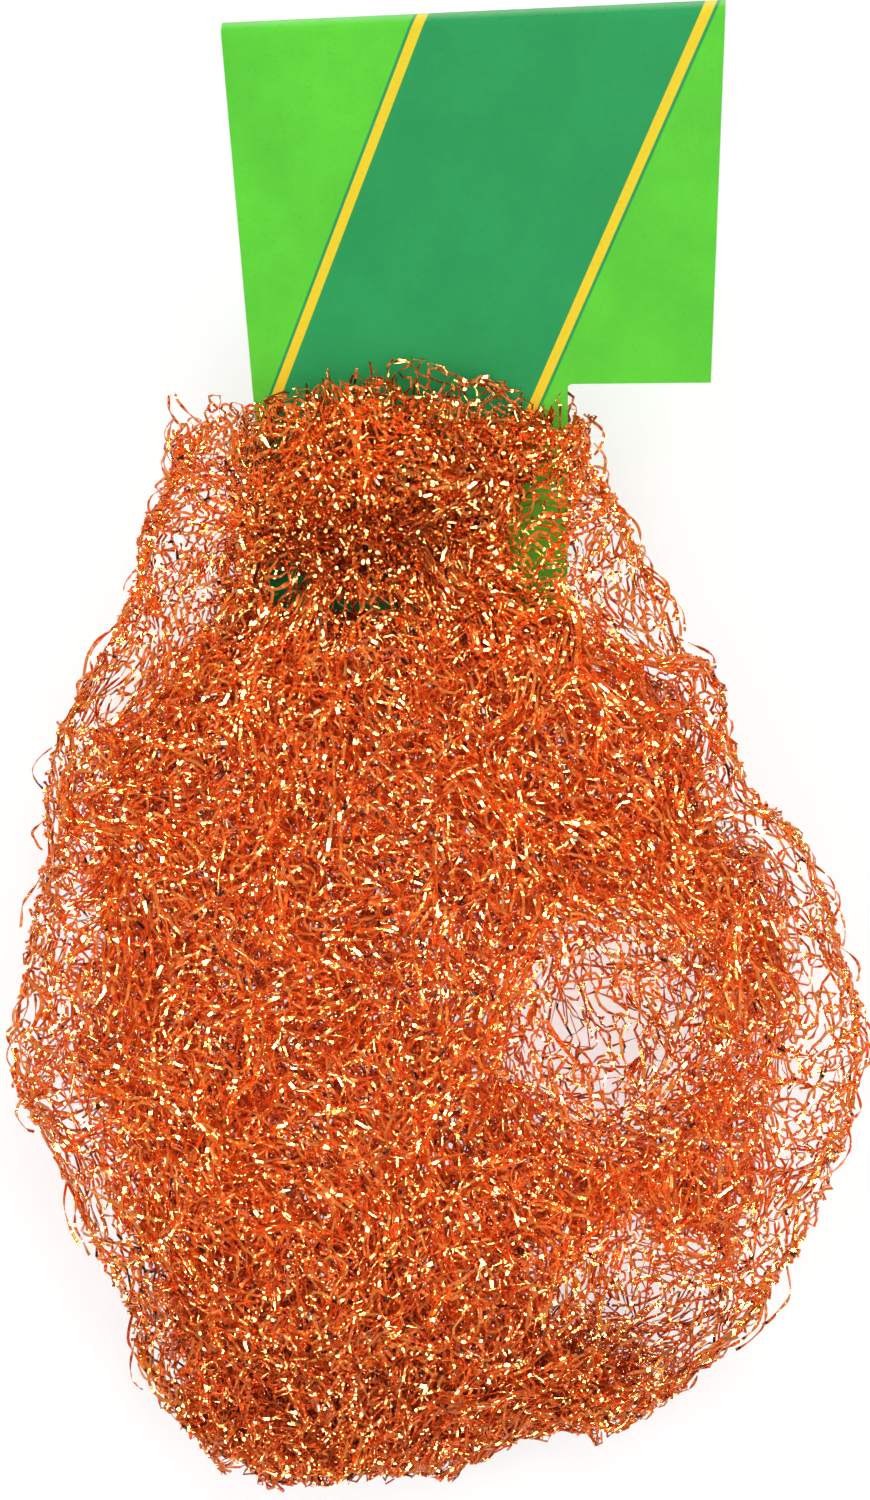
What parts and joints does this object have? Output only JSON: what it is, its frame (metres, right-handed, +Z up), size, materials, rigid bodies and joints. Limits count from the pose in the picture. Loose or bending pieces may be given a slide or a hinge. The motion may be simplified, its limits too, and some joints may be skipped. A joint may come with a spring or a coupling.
{
  "type": "pot scrubber",
  "caption": "Pear-shaped pad of knitted copper ribbon for scrubbing pots, gathered at its neck round the tab of a folded card header that pulls out.",
  "frame": {"origin": "middle of the scrubber's box, on the table that it lies on", "axes": "+Z up from the table, +Y from the pad's foot towards the card header, +X to the right seen from above"},
  "size_m": [0.0922, 0.1526, 0.0385],
  "materials": {
    "copper_knit": "polished",
    "printed_card": "satin"
  },
  "bodies": {
    "pad": {"outer_mesh_sleeve": "copper_knit", "neck_fold_front": "copper_knit", "neck_fold_back": "copper_knit", "upper_fold_front": "copper_knit", "upper_fold_back": "copper_knit", "left_fold_front": "copper_knit", "left_fold_back": "copper_knit", "right_fold": "copper_knit", "foot_fold": "copper_knit"},
    "card": {"header_card": "printed_card"}
  },
  "joints": [
    {"name": "card_pull_out", "type": "slide", "parent": "pad", "child": "card", "axis": [-0.0365, 0.91, 0.4131], "range_m": [0, 0.03]}
  ]
}
